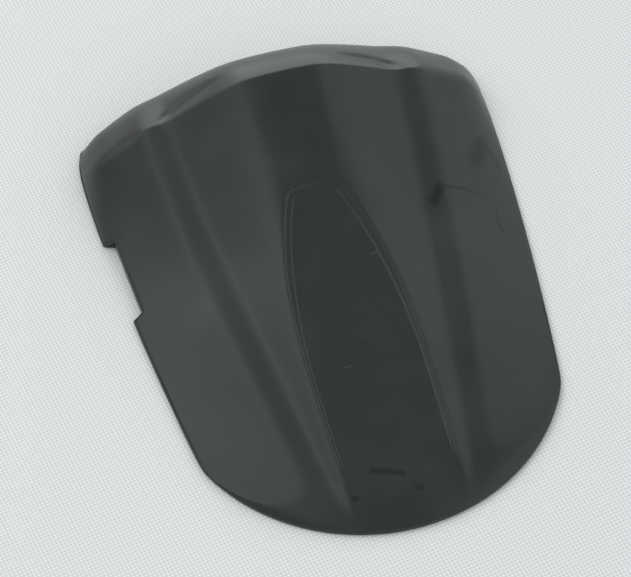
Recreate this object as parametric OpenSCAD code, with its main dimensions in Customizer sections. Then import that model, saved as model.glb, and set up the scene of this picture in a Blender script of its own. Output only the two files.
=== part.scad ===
// Seat cowl: the one-piece moulded shell that covers a pillion seat.
// X runs across, +Y points to the wide front end, +Z is up. The origin is
// the middle of the footprint, on the plane that the free edge rests on.

/* [Overall size] */
// Width across the two side edges at their widest
width = 240; // [225:1:260]
// Length from the tail tip to the foot of the front face
length = 318.5; // [305:0.5:335]
// Height of the crest at the middle, above the resting plane
height = 58.5; // [52:0.5:64]
// Thickness of the moulded wall
wall = 3; // [2.4:0.1:3.6]

/* [Outline] */
// Radius of the round tail, in plan
tail_radius = 111.5; // [104:0.5:118]
// Sweep of the tail curve each side of the middle, in degrees
tail_sweep = 70; // [66:1:74]
// How much each side edge draws in between its widest place and the tail corner
side_taper = 17; // [13:0.5:21]
// Distance from the tail tip to the widest place
widest_at = 262; // [240:1:275]
// Distance from the tail tip to the crest, at the middle
crest_at = 275.5; // [266:0.5:284]
// How far the crest falls back at the side edges
crest_bow = 6; // [2:0.5:12]
// How far the front face's foot draws in from the widest place, each side
front_draw_in = 4; // [2:0.5:10]
// How far the foot of the front face falls back at its corners
front_bow = 24.5; // [20:0.5:30]
// Height of the free edge's outer face
edge_h = 2.5; // [2:0.1:3.2]

/* [Top surface] */
// Rise of the middle, in millimetres for each millimetre of length
back_slope = 0.152; // [0.12:0.002:0.18]
// Extra lift just inside the tail edge
tail_lift = 3.8; // [2:0.1:6]
// Run of that lift from the tail tip
lift_run = 14; // [10:1:20]
// Distance from the tail tip to where the middle starts to flare up
flare_from = 150; // [130:1:170]
// Half width of the raised middle in front of the panel
plateau_half = 24.5; // [20:0.5:30]
// Fall of each flank beside the panel, per millimetre of width
flank_slope = 0.4; // [0.3:0.01:0.46]
// Fall of each flank at the crest, per millimetre of width
flank_front = 0.5; // [0.4:0.01:0.56]
// Width of the flat strip outside the panel's line
shoulder_gap = 1.5; // [0.5:0.1:3]
// Rounding where the surface changes slope across the width
blend = 2.4; // [2:0.2:6]
// Rounding of the raised middle where it meets the crest
crest_blend = 6; // [3:0.5:12]
// Least slope of the wings beside the tail
wing_slope = 0.1; // [0.08:0.01:0.2]
// Share of the wing that rolls over into its edge at the front
wing_roll = 0.4; // [0.2:0.05:0.6]

/* [Channels] */
// Distance from the middle to each channel at the tail edge
channel_tail = 39.5; // [38:0.5:43]
// Distance from the middle to each channel at the crest
channel_front = 74; // [70:0.5:80]
// Half width of each channel's floor
channel_half = 8.4; // [7:0.2:9.6]
// Half width of each channel's floor at the tail edge
channel_tail_half = 5.8; // [4:0.2:7]
// Slope across each channel's floor at the crest
floor_front = 0.12; // [0.04:0.01:0.3]

/* [Sunken panel] */
// Half width of the panel at its widest
panel_half = 32.6; // [30:0.2:33.6]
// Distance from the tail tip to the panel's widest place
panel_widest_at = 96; // [80:1:110]
// Distance from the tail tip to the panel's front end
panel_top = 207.5; // [200:0.5:212]
// Half width of the panel at its front end
panel_top_half = 14; // [10:0.1:16]
// Bow of the panel's front end, for each square millimetre of half width
panel_bow = 0.009; // [0.004:0.001:0.014]
// Distance from the tail tip to where the panel's steps begin
panel_from = 12; // [6:1:20]
// Run over which the steps reach their full height
panel_fade = 36; // [24:1:50]
// Height of the outer step down to the panel's ledge
outer_step = 0.9; // [0.4:0.05:1.1]
// Height of the inner step from the ledge down to the panel
inner_step = 0.5; // [0.2:0.05:0.7]
// Width of the ledge along the front half of the panel
ledge_width = 3.5; // [2.8:0.1:4]
// Width of the ledge near the tail
ledge_rear_width = 1.8; // [1.6:0.1:2.4]

/* [Front face] */
// Slope of the front face as it leaves the crest, in degrees
front_start = 14; // [6:1:24]
// Slope of the front face at its foot, in degrees
front_end = 82; // [76:1:88]
// Slope of the front face as it leaves the crest at its corners, in degrees
corner_start = 30; // [20:1:36]
// Depth of the crease that each channel leaves in the front face
crease_depth = 2.2; // [1:0.1:3]
// Distance from the middle to each crease's inner tip
crease_from = 18; // [12:1:26]
// Reach of each crease outside its channel
crease_reach = 26; // [20:1:30]

/* [Edge notch] */
// Distance from the tail tip to the notch's rear end
notch_from = 174.5; // [168:0.5:182]
// Distance from the tail tip to the notch's front end
notch_to = 226; // [218:0.5:234]
// Depth of the notch, in from the left edge
notch_depth = 6.5; // [5:0.5:9]

/* [Screw bosses] */
// Distance between the left and right screw bosses
boss_span = 108; // [102:1:114]
// Distance from the tail tip to the rear pair
boss_rear_at = 84; // [78:1:92]
// Distance from the tail tip to the front pair
boss_front_at = 236; // [226:1:244]
// Outer diameter of a boss
boss_d = 9; // [8:0.5:10]
// Diameter of a boss's pilot hole
pilot_d = 4.2; // [3.4:0.1:4.8]
// Height of the bosses' ends above the resting plane
boss_end = 4; // [3:0.5:5]
// Thickness of the rib through each boss
rib_t = 1.8; // [1.4:0.1:2.4]
// Reach of each rib from the middle of its boss
rib_reach = 11; // [8:0.5:13]

/* [Hidden] */

// Small curves that the surface is put together from
function mix(a, b, t) = a + (b - a) * t;
function unit(t) = min(1, max(0, t));
function ease(t) = unit(t) * unit(t) * (3 - 2 * unit(t));
function ramp(t, r) = (t + sqrt(t * t + r * r)) / 2;
function both_ramps(x, from, r) = ramp(x - from, r) + ramp(-x - from, r) - 2 * ramp(-from, r);
function soft_min(a, b, r) = (a + b - sqrt((a - b) * (a - b) + r * r)) / 2;
function soft_max(a, b, r) = (a + b + sqrt((a - b) * (a - b) + r * r)) / 2;
function rise(t) = 1 / (1 + exp(-t));
function hump(t) = exp(-t * t);

// Plan outline. v runs from 0 at the tail edge to 1 at the crest, f from 0 at
// the middle to 1 at the side edge.
corner_x = tail_radius * sin(tail_sweep);
corner_y = tail_radius * (1 - cos(tail_sweep));
corner_lean = 1 / tan(tail_sweep);
function tail_arc_x(y) = y < corner_y
    ? sqrt(max(0, y * (2 * tail_radius - y)))
    : corner_x + corner_lean * (y - corner_y);
side_power = 1.5;
corner_soft = 1.5;
function side_x(y) = width / 2
    - side_taper * pow(max(0, widest_at - y) / (widest_at - corner_y), side_power);
function edge_x_at(y) = soft_min(tail_arc_x(y), side_x(y), corner_soft);
tail_end_y = tail_radius * (1 - cos(tail_sweep - 8));
tail_end_x = edge_x_at(tail_end_y);
function tail_y(f) = tail_radius - sqrt(tail_radius * tail_radius - pow(f * tail_end_x, 2));
function crest_y(f) = crest_at - crest_bow * f * f;
function plan_y(f, v) = mix(tail_y(f), crest_y(f), v);
function edge_x(v) = edge_x_at(plan_y(1, v));

// Lines that run from the tail to the crest, each side of the middle
channel_power = 1.4;
channel_full_v = 0.35;
function channel_x(v) = mix(channel_tail, channel_front, 1 - pow(1 - v, channel_power));
function channel_w(v) = mix(channel_tail_half, channel_half, unit(v / channel_full_v));
panel_power = 2.5;
panel_front_curve = (panel_half - panel_top_half) / pow(panel_top - panel_widest_at, panel_power);
panel_rear_curve = 0.0003;
function panel_x_at(y) = panel_half - (y > panel_widest_at
    ? panel_front_curve * pow(y - panel_widest_at, panel_power)
    : panel_rear_curve * pow(y - panel_widest_at, 2));
function panel_line(v) = let (y = v * crest_at)
    y < panel_top ? panel_x_at(y)
        : mix(panel_top_half, 0.8 * plateau_half, ease((y - panel_top) / (crest_at - panel_top)));
function front_part(v) = ease((v * crest_at - flare_from) / (crest_at - flare_from));
shoulder_soft = 3;
function shoulder_x(v) = shoulder_gap + soft_max(panel_x_at(v * crest_at), plateau_half, shoulder_soft);

// Height of the middle line, and how the width falls away from it. The tail
// edge itself is level: the fall sets in over the first settle_v of the length.
settle_v = 0.12;
crest_flare = height - edge_h - tail_lift - back_slope * crest_at;
function middle_h(y) = tail_lift * (1 - exp(-y / lift_run)) + back_slope * y
    + crest_flare * pow(unit((y - flare_from) / (crest_at - flare_from)), 2);
function fall(x, v) = let (
    s = shoulder_x(v), r = mix(blend, crest_blend, front_part(v)),
    inner = channel_x(v) - channel_w(v), outer = channel_x(v) + channel_w(v),
    bank = both_ramps(x, inner, blend), wing_side = both_ramps(x, outer, blend),
    flank = mix(flank_slope, flank_front, v * v), floor_slope = floor_front * pow(v, 3))
    ease(v / settle_v) * (flank * (both_ramps(x, s, r) - bank) + floor_slope * (bank - wing_side));
function base_h(x, v) = middle_h(v * crest_at) - fall(x, v);
least_wing = 3;
wing_soft = 6;
function wing(x, v) = let (
    e = edge_x(v), full = e - channel_x(v) - channel_w(v),
    w = max(least_wing, soft_min(full, base_h(e, v) / wing_slope, wing_soft)),
    r = min(blend, w / 3),
    t = ramp(x - e + w, r) / ramp(w, r),
    roll = wing_roll * pow(v, 4)) (1 - roll) * t + roll * pow(t, 6);
function top_z(x, v) = edge_h + base_h(x, v) - base_h(edge_x(v), v) * wing(x, v);

// Sunken panel with a narrow ledge round it, from the distance outside the panel's line
step_soft = 0.22;
panel_corner = 1.6;
function ledge_w(y) = mix(ledge_rear_width, ledge_width, ease((y - 90) / 70));
function panel_gap(x, y) = soft_max(x - panel_x_at(y), y - panel_top + panel_bow * x * x, panel_corner);
function emboss(x, y) = let (d = panel_gap(x, y)) ease((y - panel_from) / panel_fade)
    * (outer_step * (rise(d / step_soft) - 1) + inner_step * (rise((d + ledge_w(y)) / step_soft) - 1));

// The underside follows the sunken panel with a soft slope
function under_panel(x, y) = -(outer_step + inner_step) * ease((y - panel_from) / panel_fade)
    * ease(-panel_gap(x, y) / 10);

// A point of the outer skin between the tail edge and the crest
function top_point(x, v, raised) = let (f = x / edge_x(v), y = plan_y(f, v))
    [x, y, top_z(x, v) + (raised ? emboss(x, y) : under_panel(x, y))];

// The front face is one bezier curve for each column, from crest to foot.
// Where it is lower than low_drop the curve is flattened.
handle = 0.62;
low_drop = 20;
function foot_point(f) = [f * (width / 2 - front_draw_in), length - front_bow * pow(f, 3), edge_h];
crease_top = 0.12;
crease_low = 0.46;
crease_half = 0.13;
function crease_mid(x) = mix(crease_top, crease_low, unit((channel_front - x) / 46));
function crease(x, t) = crease_depth * ease((x - crease_from) / 40)
    * ease((channel_front + crease_reach - x) / 30)
    * ease(2 * t / crease_top) * hump((t - crease_mid(x)) / crease_half);
function front_point(x, t) = let (
    f = x / edge_x(1),
    a = top_point(x, 1, false),
    d = foot_point(f),
    run = d.y - a.y,
    drop = a.z - d.z,
    start = mix(front_start, corner_start, ease((f - 0.5) / 0.5)),
    b = a + [0, handle * run * cos(start), -min(handle * run * sin(start), 0.35 * drop)],
    pull = 0.3 * run * unit(1 - drop / low_drop),
    c = d + [0, -handle * drop * cos(front_end) - pull, handle * drop * sin(front_end)],
    s = 1 - t,
    p = s * s * s * a + 3 * s * s * t * b + 3 * s * t * t * c + t * t * t * d)
    [mix(a.x, d.x, t * t), p.y, p.z] - [0, 0.5, 0.87] * crease(x, t) * unit(drop / low_drop);

// Columns follow the panel line, the channels and the side edge
function half_columns(v) = let (
    s = panel_line(v), c = channel_x(v), h = channel_w(v), e = edge_x(v),
    g = ledge_w(v * crest_at), step = 2.5 * step_soft, inner = s - g - step, outer = s + 4 * step,
    bank = max(outer + 1.2, c - h - 4), wing_in = c + h + 4)
    concat(
        [for (k = [0, 0.3, 0.6, 0.85, 1]) inner * k],
        [s - g + step, s - step, s + step, outer],
        [for (k = [1/3, 2/3, 1]) mix(outer, bank, k)],
        [for (k = [-1, -0.5, 0, 0.5, 1]) c + h * k],
        [for (k = [0, 0.2, 0.4, 0.6, 0.76, 0.87, 1]) mix(wing_in, e, k)]);
function columns(v) = let (half = half_columns(v), n = len(half))
    concat([for (i = [n - 1:-1:1]) -half[i]], half);

panel_top_v = panel_top / crest_at;
rows_v = concat(
    [0, 0.025, 0.055, 0.09],
    [for (k = [0:14]) mix(0.13, panel_top_v - 0.035, k / 14)],
    [for (k = [-4.2, -3.1, -0.9, 0.3, 2]) panel_top_v + k / crest_at],
    [for (k = [1:7]) mix(panel_top_v + 0.012, 0.978, k / 7)],
    [1]);
rows_t = [0.06, 0.14, 0.24, 0.36, 0.48, 0.6, 0.72, 0.86, 1];

function outer_row(v, raised) = [for (x = columns(v))
    let (p = top_point(abs(x), v, raised)) [x, p.y, p.z]];
function front_row(t) = [for (x = columns(1))
    let (p = front_point(abs(x), t)) [sign(x) * p.x, p.y, p.z]];
function skin(raised) = concat(
    [for (v = rows_v) outer_row(v, raised)],
    [for (t = rows_t) front_row(t)]);

// Inner skin: the smooth skin moved in by the wall, with its border dropped
// to the resting plane
inner_foot = 0.5;
function direction(p) = p / norm(p);
function skin_normal(g, j, i) = let (
    across = g[j][min(len(g[0]) - 1, i + 1)] - g[j][max(0, i - 1)],
    along = g[min(len(g) - 1, j + 1)][i] - g[max(0, j - 1)][i])
    direction(cross(across, along));
function inner_skin(g) = let (m = len(g) - 1, n = len(g[0]) - 1)
    [for (j = [0:m]) [for (i = [0:n]) let (p = g[j][i] - wall * skin_normal(g, j, i))
        [p.x, p.y, max(p.z, inner_foot)]]];

module shell_skin() {
    outer = skin(true);
    smooth = skin(false);
    inner = inner_skin(smooth);
    m = len(outer);
    n = len(outer[0]);
    // Border loop of the grid: tail edge, right side, front foot, left side
    loop = concat(
        [for (i = [0:n - 2]) [0, i]],
        [for (j = [0:m - 2]) [j, n - 1]],
        [for (i = [n - 1:-1:1]) [m - 1, i]],
        [for (j = [m - 1:-1:1]) [j, 0]]);
    count = len(loop);
    rim = [for (q = loop) outer[q[0]][q[1]]];
    inward = [for (k = [0:count - 1]) let (d = rim[(k + 1) % count] - rim[(k + count - 1) % count])
        direction([-d.y, d.x, 0])];
    foot_out = [for (k = [0:count - 1]) [rim[k].x, rim[k].y, 0] + 0.3 * inward[k]];
    foot_in = [for (k = [0:count - 1]) [rim[k].x, rim[k].y, 0] + wall * inward[k]];
    inner_pts = [for (j = [1:m - 2]) for (i = [1:n - 2]) inner[j][i]];
    outer_pts = [for (j = [0:m - 1]) for (i = [0:n - 1]) outer[j][i]];
    pts = concat(outer_pts, inner_pts, foot_out, foot_in);
    a0 = len(outer_pts);
    b0 = a0 + len(inner_pts);
    c0 = b0 + count;
    // Number of an inner point: the border ones are the foot's inner line
    function border_k(j, i) = j == 0 && i < n - 1 ? i
        : i == n - 1 && j < m - 1 ? n - 1 + j
        : j == m - 1 && i > 0 ? n - 1 + m - 1 + (n - 1 - i)
        : 2 * (n - 1) + m - 1 + (m - 1 - j);
    function on_border(j, i) = j == 0 || i == 0 || j == m - 1 || i == n - 1;
    function inner_id(j, i) = on_border(j, i) ? c0 + border_k(j, i) : a0 + (j - 1) * (n - 2) + i - 1;
    function outer_id(j, i) = j * n + i;
    outer_faces = [for (j = [0:m - 2]) for (i = [0:n - 2]) for (half = [0, 1]) half == 0
        ? [outer_id(j, i), outer_id(j + 1, i), outer_id(j + 1, i + 1)]
        : [outer_id(j, i), outer_id(j + 1, i + 1), outer_id(j, i + 1)]];
    inner_faces = [for (j = [0:m - 2]) for (i = [0:n - 2]) for (half = [0, 1]) half == 0
        ? [inner_id(j, i), inner_id(j + 1, i + 1), inner_id(j + 1, i)]
        : [inner_id(j, i), inner_id(j, i + 1), inner_id(j + 1, i + 1)]];
    edge_faces = [for (k = [0:count - 1]) let (q = loop[k], r = loop[(k + 1) % count], l = (k + 1) % count,
        p0 = outer_id(q[0], q[1]), p1 = outer_id(r[0], r[1])) for (side = [0:3])
        side == 0 ? [p0, p1, b0 + l]
        : side == 1 ? [p0, b0 + l, b0 + k]
        : side == 2 ? [b0 + k, b0 + l, c0 + l]
        : [b0 + k, c0 + l, c0 + k]];
    polyhedron(points = pts, faces = concat(outer_faces, inner_faces, edge_faces), convexity = 8);
}

// Notch in the left edge: square at its front end, slanted at its rear end
module notch_cut() {
    out = width;
    inner_rear = edge_x_at(notch_from) - notch_depth;
    inner_front = edge_x_at(notch_to) - notch_depth;
    linear_extrude(height = height)
        polygon([
            [-out, notch_from - notch_depth * 0.6],
            [-edge_x_at(notch_from) - 2, notch_from - notch_depth * 0.6],
            [-inner_rear, notch_from + notch_depth * 0.4],
            [-inner_front, notch_to],
            [-out, notch_to]]);
}

// Height and slopes of the skin over a place, found by closing in on its row
function row_at(x, y, v = 0.5, n = 12) = n == 0 ? v
    : let (f = min(1, x / edge_x(v))) row_at(x, y, unit((y - tail_y(f)) / (crest_y(f) - tail_y(f))), n - 1);
function skin_z(x, y) = top_z(x, row_at(x, y));
function slope_x(x, y) = (skin_z(x + 1, y) - skin_z(x - 1, y)) / 2;
function slope_y(x, y) = (skin_z(x, y + 1) - skin_z(x, y - 1)) / 2;

// Screw boss, cut along the skin inside the wall, and the rib through it
module boss(x, y) {
    top = skin_z(x, y) - wall / 2;
    roll = -atan(slope_x(x, y));
    pitch = atan(slope_y(x, y) * cos(roll));
    translate([x, y, 0]) {
        difference() {
            translate([0, 0, boss_end])
                cylinder(d = boss_d, h = top + boss_d / 2 - boss_end, $fn = 48);
            translate([0, 0, top])
                rotate([pitch, roll, 0])
                translate([-boss_d, -boss_d, 0])
                cube(2 * boss_d);
        }
        rotate([90, 0, 90])
            linear_extrude(height = rib_t, center = true)
            polygon([
                [-rib_reach, top - rib_reach * slope_y(x, y)],
                [-boss_d / 3, boss_end + 2],
                [boss_d / 3, boss_end + 2],
                [rib_reach, top + rib_reach * slope_y(x, y)]]);
    }
}

module pilot(x, y) {
    translate([x, y, boss_end - 1])
        cylinder(d = pilot_d, h = skin_z(x, y) - wall - boss_end + 1, $fn = 48);
}

module cowl_shell() {
    color("#2b2e30")
    translate([0, -length / 2, 0])
    difference() {
        union() {
            shell_skin();
            for (side = [0, 1], y = [boss_rear_at, boss_front_at])
                mirror([side, 0, 0]) boss(boss_span / 2, y);
        }
        notch_cut();
        for (side = [0, 1], y = [boss_rear_at, boss_front_at])
            mirror([side, 0, 0]) pilot(boss_span / 2, y);
    }
}

cowl_shell();
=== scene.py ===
import math

import bmesh
import bpy
import numpy as np
from mathutils import Matrix, Vector


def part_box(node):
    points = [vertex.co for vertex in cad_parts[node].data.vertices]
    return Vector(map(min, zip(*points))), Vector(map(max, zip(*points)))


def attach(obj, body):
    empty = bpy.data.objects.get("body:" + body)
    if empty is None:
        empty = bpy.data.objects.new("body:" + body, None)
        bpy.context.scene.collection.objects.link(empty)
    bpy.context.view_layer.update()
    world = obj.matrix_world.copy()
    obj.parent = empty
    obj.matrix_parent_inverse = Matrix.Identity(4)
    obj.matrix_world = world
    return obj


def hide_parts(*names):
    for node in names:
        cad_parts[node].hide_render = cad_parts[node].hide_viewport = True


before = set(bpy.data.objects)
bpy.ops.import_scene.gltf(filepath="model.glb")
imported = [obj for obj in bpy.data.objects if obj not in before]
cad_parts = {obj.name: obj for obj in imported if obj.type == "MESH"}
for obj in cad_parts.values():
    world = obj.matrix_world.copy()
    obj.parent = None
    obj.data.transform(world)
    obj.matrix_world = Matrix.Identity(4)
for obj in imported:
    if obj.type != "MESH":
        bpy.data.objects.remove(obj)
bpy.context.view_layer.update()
cadLow, cadHigh = [np.array(corner) * 1000 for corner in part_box("cowl_shell")]
print("frame loaded")

# The shell: the part's own curves in millimetres and degrees, on a finer grid
shellSizes = {
    "width": 240, "length": 318.5, "height": 58.5, "wall": 3, "edgeHeight": 2.5,
    # Outline
    "tailRadius": 111.5, "tailSweep": 70, "tailTurnBack": 8, "sideTaper": 17, "sidePower": 1.5,
    "widestAt": 262, "cornerSoft": 1.5, "crestAt": 275.5, "crestBow": 6, "frontDrawIn": 4, "frontBow": 24.5,
    # Middle line, shoulders, flanks and wings
    "backSlope": 0.152, "tailLift": 3.8, "liftRun": 14, "flareFrom": 150, "settle": 0.12,
    "plateauHalf": 24.5, "shoulderGap": 1.5, "shoulderSoft": 3, "blend": 2.4, "crestBlend": 11,
    "flankSlope": 0.4, "flankFront": 0.5, "floorFront": 0.12,
    "wingSlope": 0.1, "wingRoll": 0.4, "rollPower": 4, "curlPower": 6, "leastWing": 3, "wingSoft": 6,
    # Channels
    "channelTail": 39.5, "channelFront": 74, "channelPower": 1.4,
    "channelHalf": 8.4, "channelTailHalf": 5.8, "channelFull": 0.35,
    # Sunken panel with its two steps and the ledge between them
    "panelHalf": 32.6, "panelWidestAt": 96, "panelPower": 2.5, "panelRearCurve": 0.0003,
    "panelTop": 207.5, "panelTopHalf": 14, "panelBow": 0.009, "panelCorner": 1.6,
    "panelFrom": 12, "panelFade": 50, "outerStep": 0.9, "innerStep": 0.5, "stepSoft": 0.22,
    "ledgeWidth": 3.5, "ledgeRearWidth": 1.8, "ledgeGrowsAt": 90, "ledgeGrowth": 70, "underRun": 10,
    # Front face
    "frontStart": 14, "cornerStart": 30, "cornerFrom": 0.5, "frontEnd": 82,
    "handle": 0.62, "mostDip": 0.35, "lowDrop": 20, "lowPull": 0.3, "frontRun": 55,
    # Creases where the channels spill over the crest
    "creaseDepth": 1.7, "creaseWay": (0, 0.5, 0.87), "creaseFrom": 27, "creaseGrowth": 20,
    "creaseTurn": 14, "creaseBend": 12, "creaseNear": 7, "creaseNearShare": 1.1,
    "creaseFar": 2.4, "creaseFarWide": 4.2, "creaseWidening": 42, "creaseEnd": 2, "creaseFade": 14,
    # Notch in the left edge
    "notchFrom": 174.5, "notchTo": 226, "notchDepth": 6.5,
    "notchLead": 0.6, "notchCorner": 0.7, "notchReach": 40,
    # Rounds of the crest and the free edge
    "crestRound": 0.8, "wingRound": 6, "wingRoundFrom": 4, "wingRoundRun": 12,
    "edgeRound": 0.9, "edgeRise": 0.25, "edgeTurns": (25, 50, 75, 90),
    "footRound": 0.35, "innerRound": 0.3, "innerLow": 0.5,
}

# Rows from tail to crest as shares of the length, columns in millimetres
gridSizes = {
    "rows": 150, "panelRows": 26, "panelRowsFrom": 0.016, "panelRowsTo": 0.03,
    "lastGap": 0.001, "leastGap": 0.0012,
    "notchRearRows": (-4, 2.8), "notchFrontRows": (-0.7, 0), "notchStep": 0.5,
    "insidePanel": 5.2, "outsidePanel": 3, "leastBank": 1.2,
    "besideChannel": 4, "edgeBand": 3, "crestShare": 0.8,
    "columns": (8, 36, 6, 12, 18, 3), "crestRows": 7, "frontRows": 44,
}
size = type("Sizes", (), shellSizes)
gridding = type("Grid", (), gridSizes)


def mix(a, b, t):
    return a + (b - a) * t


def unit(t):
    return np.clip(t, 0, 1)


def ease(t):
    return unit(t) ** 2 * (3 - 2 * unit(t))


def ramp(t, r):
    return (t + np.sqrt(t * t + r * r)) / 2


def bothRamps(x, start, r):
    return ramp(x - start, r) + ramp(-x - start, r) - 2 * ramp(-start, r)


def softMin(a, b, r):
    return (a + b - np.sqrt((a - b) ** 2 + r * r)) / 2


def softMax(a, b, r):
    return (a + b + np.sqrt((a - b) ** 2 + r * r)) / 2


# Clipped so that the power stays in range
def rise(t):
    return 1 / (1 + np.exp(-np.clip(t, -40, 40)))


# Outline in plan. v is 0 at the tail edge and 1 at the crest.
sweep = math.radians(size.tailSweep)
cornerX = size.tailRadius * math.sin(sweep)
cornerY = size.tailRadius * (1 - math.cos(sweep))


def edgeXAt(y):
    arc = np.sqrt(np.maximum(0, y * (2 * size.tailRadius - y)))
    arc = np.where(y < cornerY, arc, cornerX + (y - cornerY) / math.tan(sweep))
    drawIn = np.maximum(0, size.widestAt - y) / (size.widestAt - cornerY)
    return softMin(arc, size.width / 2 - size.sideTaper * drawIn ** size.sidePower, size.cornerSoft)


tailEndY = size.tailRadius * (1 - math.cos(sweep - math.radians(size.tailTurnBack)))
tailEndX = float(edgeXAt(tailEndY))


def planY(f, v):
    tail = size.tailRadius - np.sqrt(size.tailRadius ** 2 - (f * tailEndX) ** 2)
    return mix(tail, size.crestAt - size.crestBow * f * f, v)


def edgeX(v):
    return edgeXAt(planY(1, v))


# Lines that run from the tail to the crest
def channelX(v):
    return mix(size.channelTail, size.channelFront, 1 - (1 - v) ** size.channelPower)


def channelW(v):
    return mix(size.channelTailHalf, size.channelHalf, unit(v / size.channelFull))


def panelXAt(y):
    front = (size.panelHalf - size.panelTopHalf) / (size.panelTop - size.panelWidestAt) ** size.panelPower
    ahead = y - size.panelWidestAt
    frontDraw = front * np.maximum(ahead, 0) ** size.panelPower
    return size.panelHalf - np.where(ahead > 0, frontDraw, size.panelRearCurve * ahead ** 2)


def frontPart(v):
    return ease((v * size.crestAt - size.flareFrom) / (size.crestAt - size.flareFrom))


def shoulderX(v):
    return size.shoulderGap + softMax(panelXAt(v * size.crestAt), size.plateauHalf, size.shoulderSoft)


def panelLine(v):
    y = v * size.crestAt
    ahead = ease((y - size.panelTop) / (size.crestAt - size.panelTop))
    widening = mix(size.panelTopHalf, gridding.crestShare * size.plateauHalf, ahead)
    return np.where(y < size.panelTop, panelXAt(y), widening)


# Height of the middle line, and how the width falls away from it
def middleHeight(y):
    flare = size.height - size.edgeHeight - size.tailLift - size.backSlope * size.crestAt
    return (size.tailLift * (1 - np.exp(-y / size.liftRun)) + size.backSlope * y
            + flare * unit((y - size.flareFrom) / (size.crestAt - size.flareFrom)) ** 2)


def baseHeight(x, v):
    radius = mix(size.blend, size.crestBlend, frontPart(v))
    bank = bothRamps(x, channelX(v) - channelW(v), size.blend)
    wingSide = bothRamps(x, channelX(v) + channelW(v), size.blend)
    flank = mix(size.flankSlope, size.flankFront, v * v)
    fall = flank * (bothRamps(x, shoulderX(v), radius) - bank) + size.floorFront * v ** 3 * (bank - wingSide)
    return middleHeight(v * size.crestAt) - ease(v / size.settle) * fall


def topHeight(x, v):
    edge = edgeX(v)
    full = edge - channelX(v) - channelW(v)
    w = np.maximum(size.leastWing, softMin(full, baseHeight(edge, v) / size.wingSlope, size.wingSoft))
    r = np.minimum(size.blend, w / 3)
    t = ramp(x - edge + w, r) / ramp(w, r)
    roll = size.wingRoll * v ** size.rollPower
    curl = (1 - roll) * t + roll * t ** size.curlPower
    return size.edgeHeight + baseHeight(x, v) - baseHeight(edge, v) * curl


# Sunken panel with a narrow ledge round it
def panelGap(x, y):
    return softMax(x - panelXAt(y), y - size.panelTop + size.panelBow * x * x, size.panelCorner)


def emboss(x, y):
    gap = panelGap(x, y)
    ledge = mix(size.ledgeRearWidth, size.ledgeWidth, ease((y - size.ledgeGrowsAt) / size.ledgeGrowth))
    outer = size.outerStep * (rise(gap / size.stepSoft) - 1)
    inner = size.innerStep * (rise((gap + ledge) / size.stepSoft) - 1)
    return ease((y - size.panelFrom) / size.panelFade) * (outer + inner)


# The underside follows the sunken panel with a soft slope
def underPanel(x, y):
    depth = (size.outerStep + size.innerStep) * ease((y - size.panelFrom) / size.panelFade)
    return -depth * ease(-panelGap(x, y) / size.underRun)


def topPoints(x, v, raised):
    across = x / edgeX(v)
    y = planY(across, v)
    z = topHeight(x, v) + (emboss(x, y) if raised else underPanel(x, y))
    return np.stack([x, y, z], axis=-1)


# The front face is one curve for each column, from the crest to the foot
def frontPoints(x, t):
    across = x / edgeX(1.0)
    a = topPoints(x, 1.0, False)
    d = np.stack([across * (size.width / 2 - size.frontDrawIn), size.length - size.frontBow * across ** 3,
                  np.full_like(x, size.edgeHeight)], axis=-1)
    run, drop = d[:, 1] - a[:, 1], a[:, 2] - d[:, 2]
    outward = ease((across - size.cornerFrom) / (1 - size.cornerFrom))
    start = np.radians(mix(size.frontStart, size.cornerStart, outward))
    end = math.radians(size.frontEnd)
    zero = np.zeros_like(x)
    dip = np.minimum(size.handle * run * np.sin(start), size.mostDip * drop)
    b = a + np.stack([zero, size.handle * run * np.cos(start), -dip], axis=-1)
    back = size.handle * drop * math.cos(end) + size.lowPull * run * unit(1 - drop / size.lowDrop)
    c = d + np.stack([zero, -back, size.handle * drop * math.sin(end)], axis=-1)
    t = np.broadcast_to(t, x.shape)[:, None]
    s = 1 - t
    p = s ** 3 * a + 3 * s * s * t * b + 3 * s * t * t * c + t ** 3 * d
    p[:, 0] = mix(a[:, 0], d[:, 0], t[:, 0] ** 2)
    return p


# Each channel spills over the crest and turns in along the front face
def spill(x, points):
    gap = points - topPoints(x, 1.0, False)
    along = np.sign(gap[:, 1]) * np.hypot(gap[:, 1], gap[:, 2])
    middle = size.creaseTurn * (1 - np.exp((x - size.channelFront) / size.creaseBend))
    near = np.maximum(middle * size.creaseNearShare, size.creaseNear)
    far = mix(size.creaseFar, size.creaseFarWide, unit((x - size.creaseFrom) / size.creaseWidening))
    dent = np.where(along < middle, ease((along - middle + near) / near), 1 - ease((along - middle) / far))
    dent = dent * ease((x - size.creaseFrom) / size.creaseGrowth)
    dent = dent * ease((size.channelFront + size.creaseEnd - x) / size.creaseFade)
    return points - size.creaseDepth * dent[:, None] * np.array(size.creaseWay)


def steps(start, end, count):
    return list(np.linspace(start, end, count, endpoint=False))


# Columns of one half, closer together at the panel line
def halfColumns(v):
    line, mid, half, edge = [float(curve(v)) for curve in (panelLine, channelX, channelW, edgeX)]
    inner, outer = line - gridding.insidePanel, line + gridding.outsidePanel
    bank = max(outer + gridding.leastBank, mid - half - gridding.besideChannel)
    wingIn = mid + half + gridding.besideChannel
    stops = (0, inner, outer, bank, wingIn, edge - gridding.edgeBand, edge)
    columns = []
    for start, end, count in zip(stops, stops[1:], gridding.columns):
        columns += steps(start, end, count)
    return np.array(columns + [edge])


def notchCut(y):
    rear = unit((y - size.notchFrom + size.notchDepth * size.notchLead) / size.notchDepth)
    front = unit((size.notchTo - y) / size.notchCorner)
    return size.notchDepth * rear * front


def edgeRow(y):
    tail = float(planY(1.0, 0.0))
    return (y - tail) / (size.crestAt - size.crestBow - tail)


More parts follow.
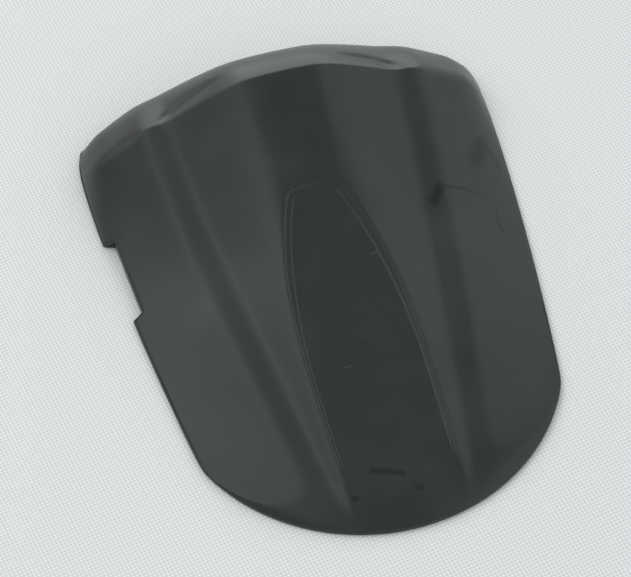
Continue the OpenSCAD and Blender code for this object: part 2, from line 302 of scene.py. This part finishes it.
def buildRows():
    top = size.panelTop / size.crestAt
    rows = list(np.linspace(0, 1 - size.wingRound / size.crestAt - gridding.lastGap, gridding.rows))
    rows += list(np.linspace(top - gridding.panelRowsFrom, top + gridding.panelRowsTo, gridding.panelRows))
    places = [size.notchFrom + step for step in gridding.notchRearRows]
    places += [size.notchTo + step for step in gridding.notchFrontRows]
    for place in places:
        rows += [edgeRow(place + side * gridding.notchStep) for side in (-1, 0, 1)]
    rows = sorted(rows)
    kept = [rows[0]]
    for row in rows[1:]:
        if row - kept[-1] > gridding.leastGap:
            kept.append(row)
    return kept


def wholeRow(left, right):
    return np.concatenate([left[:0:-1] * np.array([-1, 1, 1]), right])


def skinGrid(raised):
    grid = []
    for v in buildRows():
        x = halfColumns(v)
        right = topPoints(x, v, raised)
        # The left side draws in where the notch is
        drawnIn = notchCut(right[-1, 1]) * unit((x - x[-1] + size.notchReach) / size.notchReach)
        left = topPoints(x - drawnIn, v, raised)
        grid.append(wholeRow(spill(x, left), spill(x, right)))
    # A tight round over the crest, wider outside the channels
    x = halfColumns(1.0)
    outside = ease((x - size.channelFront - size.wingRoundFrom) / size.wingRoundRun)
    turn = mix(size.crestRound, size.wingRound, outside)
    before, crest = topPoints(x, 1 - turn / size.crestAt, raised), topPoints(x, 1.0, raised)
    start = turn / size.frontRun
    after = frontPoints(x, start)
    for t in np.linspace(0, 1, gridding.crestRows):
        half = spill(x, (1 - t) ** 2 * before + 2 * t * (1 - t) * crest + t * t * after)
        grid.append(wholeRow(half, half))
    for t in np.linspace(0, 1, gridding.frontRows)[1:]:
        half = spill(x, frontPoints(x, mix(start, 1, t)))
        grid.append(wholeRow(half, half))
    return np.array(grid)


# Moves points to the shared frame, in metres, and keeps them inside the CAD box
def makePiece(name, points, faces):
    points = np.array(points) - np.array([0, size.length / 2, 0])
    points = np.clip(points, cadLow, cadHigh) / 1000
    mesh = bpy.data.meshes.new(name)
    mesh.from_pydata(points.tolist(), [], [tuple(int(number) for number in face) for face in faces])
    mesh.shade_smooth()
    piece = bpy.data.objects.new(name, mesh)
    bpy.context.collection.objects.link(piece)
    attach(piece, "root")
    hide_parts("cowl_shell")
    return piece


# Which way the grid runs at each point, for uneven spacing too
def directions(grid, axis):
    gap = np.diff(np.moveaxis(grid, axis, 0), axis=0)
    far = np.linalg.norm(gap, axis=-1, keepdims=True) + 1e-9
    way = gap / far
    inside = (way[1:] * far[:-1] + way[:-1] * far[1:]) / (far[1:] + far[:-1])
    return np.moveaxis(np.concatenate([way[:1], inside, way[-1:]]), 0, axis)


def gridFaces(number):
    corners = [number[:-1, :-1], number[:-1, 1:], number[1:, 1:], number[1:, :-1]]
    return np.stack(corners, axis=-1).reshape(-1, 4)


def ringFaces(upper, lower):
    return np.stack([np.roll(upper, -1), upper, lower, np.roll(lower, -1)], axis=-1)


def buildShell():
    outer = skinGrid(True)
    smooth = skinGrid(False)
    rowCount, columnCount = outer.shape[:2]
    normal = np.cross(directions(smooth, 1), directions(smooth, 0))
    normal /= np.linalg.norm(normal, axis=-1, keepdims=True)
    inner = smooth - size.wall * normal
    inner[..., 2] = np.maximum(inner[..., 2], size.innerLow)

    border = [(0, i) for i in range(columnCount - 1)]
    border += [(j, columnCount - 1) for j in range(rowCount - 1)]
    border += [(rowCount - 1, i) for i in range(columnCount - 1, 0, -1)]
    border += [(j, 0) for j in range(rowCount - 1, 0, -1)]
    rim = np.array([outer[place] for place in border])
    step = np.roll(rim, -1, axis=0) - np.roll(rim, 1, axis=0)
    inward = np.stack([-step[:, 1], step[:, 0], np.zeros(len(rim))], axis=-1)
    inward /= np.linalg.norm(inward, axis=-1, keepdims=True)

    # Rings round the free edge: round shoulder, outer face, foot, inner line
    rings = []
    for turn in size.edgeTurns:
        lean, low = 1 - math.sin(math.radians(turn)), 1 - math.cos(math.radians(turn))
        ring = rim + inward * size.edgeRound * lean
        ring[:, 2] = rim[:, 2] + size.edgeRise - size.edgeRound * low
        rings.append(ring)
    footLine = ((0, size.footRound), (size.footRound, 0),
                (size.wall - size.innerRound, 0), (size.wall, size.innerRound))
    for inset, height in footLine:
        ring = rim + inward * inset
        ring[:, 2] = height
        rings.append(ring)
    drawn = rim + inward * size.edgeRound + np.array([0, 0, size.edgeRise])
    for spot, place in zip(drawn, border):
        outer[place] = spot

    outerNumber = np.arange(rowCount * columnCount).reshape(rowCount, columnCount)
    points = [outer.reshape(-1, 3)]
    total = rowCount * columnCount
    ringNumbers = []
    for ring in rings:
        points.append(ring)
        ringNumbers.append(np.arange(len(ring)) + total)
        total += len(ring)
    innerNumber = np.zeros((rowCount, columnCount), dtype=int)
    inside = innerNumber[1:-1, 1:-1]
    inside[:] = np.arange(inside.size).reshape(inside.shape) + total
    points.append(inner[1:-1, 1:-1].reshape(-1, 3))
    for number, place in zip(ringNumbers[-1], border):
        innerNumber[place] = number

    # The underside's faces turn the other way
    faces = [gridFaces(outerNumber), gridFaces(innerNumber)[:, [0, 3, 2, 1]]]
    loops = [np.array([outerNumber[place] for place in border])] + ringNumbers
    for upper, lower in zip(loops, loops[1:]):
        faces.append(ringFaces(upper, lower))
    return makePiece("cowlShell", np.concatenate(points), np.concatenate(faces))


cowlShell = buildShell()
print("shell built:", len(cowlShell.data.polygons), "faces")

# Four screw bosses under the shell, each with a pilot hole and a thin rib
bossSizes = {
    "span": 108, "rearAt": 84, "frontAt": 236,
    "across": 9, "pilot": 4.2, "end": 4, "chamfer": 0.5, "sides": 40,
    "ribThick": 1.8, "ribStart": 3, "ribReach": 11, "ribRise": 2, "ribSteps": 7, "sharpAngle": 35,
    "closingSteps": 12,
}


# Height of the skin at a spot, by closing in on the row that runs through it
def skinHeight(x, y):
    v = 0.5
    for step in range(bossSizes["closingSteps"]):
        across = min(1, x / float(edgeX(v)))
        tail, crest = float(planY(across, 0)), float(planY(across, 1))
        v = float(unit((y - tail) / (crest - tail)))
    return float(topHeight(np.array([x]), v)[0])


def circle(centre, radius, height):
    x, y = centre
    turns = np.linspace(0, math.tau, bossSizes["sides"], endpoint=False)
    return [(x + radius * math.cos(turn), y + radius * math.sin(turn), height) for turn in turns]


def buildBoss(x, y):
    outside, bore = bossSizes["across"] / 2, bossSizes["pilot"] / 2
    end, chamfer = bossSizes["end"], bossSizes["chamfer"]
    rings = [circle((x, y), bore, skinHeight(x, y) - size.wall),
             circle((x, y), bore, end + chamfer),
             circle((x, y), bore + chamfer, end),
             circle((x, y), outside - chamfer, end),
             circle((x, y), outside, end + chamfer),
             [(a, b, skinHeight(a, b) - size.wall / 2) for a, b, c in circle((x, y), outside, 0)]]
    number = np.arange(len(rings) * bossSizes["sides"]).reshape(len(rings), -1)
    faces = [number[0], number[-1][::-1]]
    for upper, lower in zip(number, number[1:]):
        faces += list(ringFaces(upper, lower))
    return [spot for ring in rings for spot in ring], faces


def buildRib(x, y, way):
    # One half of the rib, from inside the boss out to the reach
    start, half = bossSizes["ribStart"], bossSizes["ribThick"] / 2
    outline = []
    for step in np.linspace(start, bossSizes["ribReach"], bossSizes["ribSteps"]):
        outline.append((y + way * step, skinHeight(x, y + way * step) - size.wall / 2))
    outline.append((y + way * start, bossSizes["end"] + bossSizes["ribRise"]))
    count = len(outline)
    points = [(x + side * half, a, b) for side in (-1, 1) for a, b in outline]
    faces = [tuple(range(count)), tuple(range(count, 2 * count))[::-1]]
    faces += [(k, count + k, count + (k + 1) % count, (k + 1) % count) for k in range(count)]
    return points, faces


def buildBosses():
    points, faces = [], []
    for y in (bossSizes["rearAt"], bossSizes["frontAt"]):
        x = bossSizes["span"] / 2
        for spots, sides in (buildBoss(x, y), buildRib(x, y, 1), buildRib(x, y, -1)):
            for mirror in (1, -1):
                faces += [tuple(len(points) + number for number in side) for side in sides]
                points += [(mirror * a, b, c) for a, b, c in spots]
    piece = makePiece("screwBosses", points, faces)
    shape = bmesh.new()
    shape.from_mesh(piece.data)
    bmesh.ops.recalc_face_normals(shape, faces=shape.faces)
    shape.to_mesh(piece.data)
    shape.free()
    piece.data.set_sharp_from_angle(angle=math.radians(bossSizes["sharpAngle"]))
    return piece


screwBosses = buildBosses()
print("bosses built:", len(screwBosses.data.polygons), "faces")


# Node helpers for the materials and the world
class Value:
    def __init__(self, nodes, socket):
        self.nodes, self.socket = nodes, socket

    def math(self, operation, first, second):
        return self.nodes.add("ShaderNodeMath", {"operation": operation}, [first, second])

    def __add__(self, other):
        return self.math("ADD", self, other)

    def __sub__(self, other):
        return self.math("SUBTRACT", self, other)

    def __rsub__(self, other):
        return self.math("SUBTRACT", other, self)

    def __mul__(self, other):
        return self.math("MULTIPLY", self, other)

    __radd__ = __add__
    __rmul__ = __mul__


class Nodes:
    def __init__(self, owner):
        owner.use_nodes = True
        self.tree = owner.node_tree

    # The settings go in first, then the sockets, by place or by name
    def add(self, kind, settings, sockets, output=0):
        made = self.tree.nodes.new(kind)
        for name, value in settings.items():
            setattr(made, name, value)
        for place, value in sockets.items() if isinstance(sockets, dict) else enumerate(sockets):
            self.feed(made, place, value)
        return Value(self, made.outputs[output])

    def feed(self, made, place, value):
        if isinstance(value, Value):
            self.tree.links.new(value.socket, made.inputs[place])
        else:
            made.inputs[place].default_value = value

    def blend(self, mask, first, second):
        return self.add("ShaderNodeMix", {"data_type": "RGBA"}, {0: mask, 6: first, 7: second}, 2)

    def vector(self, operation, first, second, output=0):
        return self.add("ShaderNodeVectorMath", {"operation": operation}, [first, second], output)

    def noise(self, place, scale, detail=2.0, roughness=0.5, output=0):
        sockets = {"Vector": place, "Scale": scale, "Detail": detail, "Roughness": roughness}
        return self.add("ShaderNodeTexNoise", {}, sockets, output)

    def between(self, value, low, high):
        return self.add("ShaderNodeMapRange", {"interpolation_type": "SMOOTHSTEP"},
                        {"Value": value, "From Min": low, "From Max": high})


def newMaterial(name):
    material = bpy.data.materials.new(name)
    nodes = Nodes(material)
    shader = nodes.tree.nodes["Principled BSDF"]
    place = nodes.add("ShaderNodeTexCoord", {}, [], 3)
    return material, nodes, shader, place


plasticLook = {
    "color": (0.015, 0.020, 0.0205, 1),
    "worn": (0.030, 0.034, 0.034, 1),
    "roughness": 0.31,
    "hazeScale": 26.0,
    "hazeDetail": 4.0,
    "hazeFine": 0.6,
    "hazeRange": (0.4, 0.75),
    "hazeColor": 0.35,
    "hazeRoughness": 0.05,
    "grainScale": 1500.0,
    "grainRoughness": 0.06,
    "grainDepth": 0.00003,
    "grainStrength": 0.35,
}

# Stains, a dark line, scratches, and two pale patches of painted light, placed in millimetres
marks = {
    "channelStain": {"line": ((66.5, 31), (71.5, 38.5)), "half": 3.2, "dark": 0.55},
    # A thin dark curved line across the right wing, darkened like the other dark marks
    "wingLine": {
        "line": ((76, 38.5), (85.9, 36.8), (94.4, 33.7), (98, 29.9), (101.4, 22.9), (98.8, 13), (100.4, 9.1)),
        "half": 0.9, "dark": 0.3,
    },
    "wingSmudge": {"line": ((105.9, 68.1), (98.5, 56.7)), "half": 4.5, "dark": 0.3},
    "edgeLine": {"line": ((108.8, 67.4), (111.8, 51.5)), "half": 1.2, "dark": 0.25},
    "tailStain": {"line": ((-14.8, -124.1), (0, -130.3)), "half": 2.0, "dark": 0.5},
    "tailSpot": {"line": ((5, -139.8), (7, -140)), "half": 1.6, "dark": 0.5},
    "panelDot": {"line": ((-29, -137), (-28, -137)), "half": 1.5, "dark": 0.6},
    # Painted light: these two pale patches lighten the left wing and the front of the left flank, standing in
    # for light falling there
    "leftWingPaintedLight": {"line": ((-81, -6), (-77, -2)), "half": 8.0, "light": 0.12},
    "frontFlankPaintedLight": {"line": ((-50, 88), (-46, 92)), "half": 8.0, "light": 0.10},
    "panelScratch": {"line": ((-12.9, -62.5), (-9.2, -62.4)), "half": 0.5, "light": 0.5},
    "middleScratch": {"line": ((20.5, -0.4), (23.7, -0.2)), "half": 0.5, "light": 0.5},
}
markLook = {
    "grime": (0.010, 0.011, 0.010, 1),
    "grimeRoughness": 0.7,
    "grimeShine": 0.12,
    "scratchesAndPaintedLight": (0.075, 0.085, 0.085, 1),
    "waver": 0.0035,
    "waverScale": 80.0,
    "waverDetail": 1.5,
    "patchScale": 50.0,
    "patchDetail": 1.0,
    "patchRange": (0.1, 0.5),
    "core": 0.0002,
    "fade": 0.0016,
    "outsideRange": (0.2, 0.5),
}


# One along a bent line seen from above, nothing away from it
def lineMask(nodes, place, line, half):
    nearest = 1.0
    for start, end in zip(line, line[1:]):
        start, end = Vector((*start, 0)) / 1000, Vector((*end, 0)) / 1000
        reach = end - start
        gone = nodes.vector("SUBTRACT", place, start)
        share = nodes.vector("DOT_PRODUCT", gone, reach / reach.length_squared, 1)
        share = nodes.add("ShaderNodeClamp", {}, [share])
        foot = nodes.add("ShaderNodeVectorMath", {"operation": "SCALE"}, {0: reach, "Scale": share})
        away = nodes.vector("DISTANCE", gone, foot, 1)
        nearest = away.math("MINIMUM", away, nearest)
    return 1 - nodes.between(nearest, markLook["core"] * half, markLook["fade"] * half)


# How dark each spot is drawn, and how much scratches and painted light lighten it, on the outside only
def markMasks(nodes, place):
    flat = nodes.vector("MULTIPLY", place, (1, 1, 0))
    swirl = nodes.noise(flat, markLook["waverScale"], markLook["waverDetail"], output=1)
    waver = nodes.vector("SUBTRACT", swirl, (0.5, 0.5, 0.5))
    waver = nodes.vector("MULTIPLY", waver, (markLook["waver"], markLook["waver"], 0))
    drawn = nodes.vector("ADD", flat, waver)
    darkening, scratchesAndPaintedLight = 0.0, 0.0
    for mark in marks.values():
        mask = lineMask(nodes, drawn, mark["line"], mark["half"])
        if "dark" in mark:
            darkening = darkening + mark["dark"] * mask
        else:
            # Pale marks lighten the colour: real scratches, and patches of painted light
            scratchesAndPaintedLight = scratchesAndPaintedLight + mark["light"] * mask
    normal = nodes.add("ShaderNodeTexCoord", {}, [], 1)
    outside = nodes.between(nodes.add("ShaderNodeSeparateXYZ", {}, [normal], 2), *markLook["outsideRange"])
    patches = nodes.noise(place, markLook["patchScale"], markLook["patchDetail"])
    patches = nodes.between(patches, *markLook["patchRange"])
    return darkening * outside * patches, scratchesAndPaintedLight * outside


def blackPlastic():
    material, nodes, shader, place = newMaterial("blackPlastic")
    darkening, scratchesAndPaintedLight = markMasks(nodes, place)
    grain = nodes.noise(place, plasticLook["grainScale"])
    cloud = nodes.noise(place, plasticLook["hazeScale"], plasticLook["hazeDetail"], plasticLook["hazeFine"])
    haze = nodes.between(cloud, *plasticLook["hazeRange"])
    body = nodes.blend(plasticLook["hazeColor"] * haze, plasticLook["color"], plasticLook["worn"])
    # Painted light and scratches: the pale marks blend the base colour towards a lighter grey here
    nodes.feed(shader, "Base Color", nodes.blend(scratchesAndPaintedLight, body, markLook["scratchesAndPaintedLight"]))
    uneven = plasticLook["grainRoughness"] * (grain - 0.5) + plasticLook["hazeRoughness"] * haze
    nodes.feed(shader, "Roughness", plasticLook["roughness"] + uneven)
    bump = nodes.add("ShaderNodeBump", {}, {
        "Strength": plasticLook["grainStrength"],
        "Distance": plasticLook["grainDepth"],
        "Height": grain,
    })
    nodes.feed(shader, "Normal", bump)
    grime = nodes.add("ShaderNodeBsdfPrincipled", {}, {
        "Base Color": markLook["grime"],
        "Roughness": markLook["grimeRoughness"],
        "Specular IOR Level": markLook["grimeShine"],
        "Normal": bump,
    })
    mixed = nodes.add("ShaderNodeMixShader", {}, [darkening, Value(nodes, shader.outputs[0]), grime])
    nodes.feed(nodes.tree.nodes["Material Output"], "Surface", mixed)
    return material


plastic = blackPlastic()
for piece in (cowlShell, screwBosses):
    piece.data.materials.append(plastic)
print("plastic made")

# Floor, world and lamps
studio = {
    "clothColor": (0.92, 0.92, 0.91, 1),
    "threadColor": (0.66, 0.66, 0.65, 1),
    "clothRoughness": 0.9,
    "threadTurn": 10.3,
    "threadGap": 0.0021,
    "threadDepth": 0.25,
    "fluffScale": 500.0,
    "fluffDetail": 1.0,
    "fluffDepth": 0.35,
    "floorReach": 6,
    "floorDrop": 0.0002,
    "keyPower": 6,
    "keySize": (1.0, 1.0),
    "keyFrom": (-1.2, 0.7, 1.6),
    "windowPower": 9.5,
    "windowSize": (2.0, 1.4),
    "windowFrom": (0.65, 2.4, 0.75),
    "leftWall": (1.62, 1.67, 1.70, 1),
    "leftDim": (0.50, 0.52, 0.53, 1),
    "leftRange": (-0.65, 0.15),
    "rightWall": (0.92, 0.95, 0.96, 1),
    "wallRange": (-0.5, 0.5),
    "overhead": (0.225, 0.265, 0.275, 1),
    "dimAt": (0.13, 0.05),
    "dimHalf": (0.24, 0.7),
    "dimLean": 0.15,
    "dimRange": (0.65, 1.3),
    "corner": (0.60, 0.58, 0.52, 1),
    "cornerFrom": (-0.6, 0.8, 0.05),
    "cornerRange": (0.84, 0.97),
}


def pointAt(thing, spot, roll=0):
    direction = Vector(spot) - thing.location
    turn = direction.to_track_quat("-Z", "Y").to_matrix() @ Matrix.Rotation(math.radians(roll), 3, "Z")
    thing.rotation_euler = turn.to_euler()


# Pale cloth in a square weave
def buildFloor():
    mesh = bpy.data.meshes.new("floor")
    reach = studio["floorReach"]
    corners = [(-reach, -reach, 0), (reach, -reach, 0), (reach, reach, 0), (-reach, reach, 0)]
    mesh.from_pydata(corners, [], [(0, 1, 2, 3)])
    floor = bpy.data.objects.new("floor", mesh)
    floor.location.z = -studio["floorDrop"]
    bpy.context.collection.objects.link(floor)
    material, nodes, shader, place = newMaterial("paleCloth")
    fluff = nodes.noise(place, studio["fluffScale"], studio["fluffDetail"])
    weave = 0.5 + studio["fluffDepth"] * (fluff - 0.5)
    for turn in (studio["threadTurn"], studio["threadTurn"] - 90):
        turn = math.radians(turn)
        across = Vector((math.cos(turn), math.sin(turn), 0)) * math.tau / studio["threadGap"]
        phase = nodes.vector("DOT_PRODUCT", place, across, 1)
        weave = weave + studio["threadDepth"] * nodes.add("ShaderNodeMath", {"operation": "SINE"}, [phase])
    nodes.feed(shader, "Base Color", nodes.blend(weave, studio["threadColor"], studio["clothColor"]))
    nodes.feed(shader, "Roughness", studio["clothRoughness"])
    mesh.materials.append(material)
    return floor


def hangLamps():
    for name in ("key", "window"):
        light = bpy.data.lights.new(name, "AREA")
        light.shape = "RECTANGLE"
        light.energy = studio[name + "Power"]
        light.size, light.size_y = studio[name + "Size"]
        lamp = bpy.data.objects.new(name, light)
        lamp.location = studio[name + "From"]
        pointAt(lamp, (0, 0, 0.02))
        lamp.visible_camera = False
        lamp.visible_glossy = name == "window"
        bpy.context.collection.objects.link(lamp)


# A room that is bright all round, with one long dim patch overhead
def buildRoom():
    world = bpy.data.worlds.new("room")
    bpy.context.scene.world = world
    nodes = Nodes(world)
    direction = nodes.add("ShaderNodeTexCoord", {}, [])
    x = nodes.add("ShaderNodeSeparateXYZ", {}, [direction], 0)
    y = nodes.add("ShaderNodeSeparateXYZ", {}, [direction], 1)
    left = nodes.blend(nodes.between(x + y, *studio["leftRange"]), studio["leftDim"], studio["leftWall"])
    walls = nodes.blend(nodes.between(x, *studio["wallRange"]), left, studio["rightWall"])
    aside = (x - studio["dimLean"] * y - studio["dimAt"][0]) * (1 / studio["dimHalf"][0])
    ahead = (y - studio["dimAt"][1]) * (1 / studio["dimHalf"][1])
    away = nodes.add("ShaderNodeMath", {"operation": "SQRT"}, [aside * aside + ahead * ahead])
    room = nodes.blend(nodes.between(away, *studio["dimRange"]), studio["overhead"], walls)
    nearness = nodes.vector("DOT_PRODUCT", direction, Vector(studio["cornerFrom"]).normalized(), 1)
    room = nodes.blend(nodes.between(nearness, *studio["cornerRange"]), room, studio["corner"])
    nodes.feed(nodes.tree.nodes["Background"], "Color", room)


cameraPlace = {
    "lens": 171.16,
    "at": (-0.24705, -0.93163, 1.37623),
    "aim": (-0.01534, -0.01292, 0.02737),
    "roll": 1.78,
    "clip": (0.05, 50),
}


def placeCamera():
    lens = bpy.data.cameras.new("camera")
    lens.lens = cameraPlace["lens"]
    lens.clip_start, lens.clip_end = cameraPlace["clip"]
    camera = bpy.data.objects.new("camera", lens)
    camera.location = cameraPlace["at"]
    pointAt(camera, cameraPlace["aim"], -cameraPlace["roll"])
    bpy.context.collection.objects.link(camera)
    bpy.context.scene.camera = camera


floor = buildFloor()
hangLamps()
buildRoom()
placeCamera()
bpy.context.scene.view_settings.view_transform = "Standard"
print("studio ready")
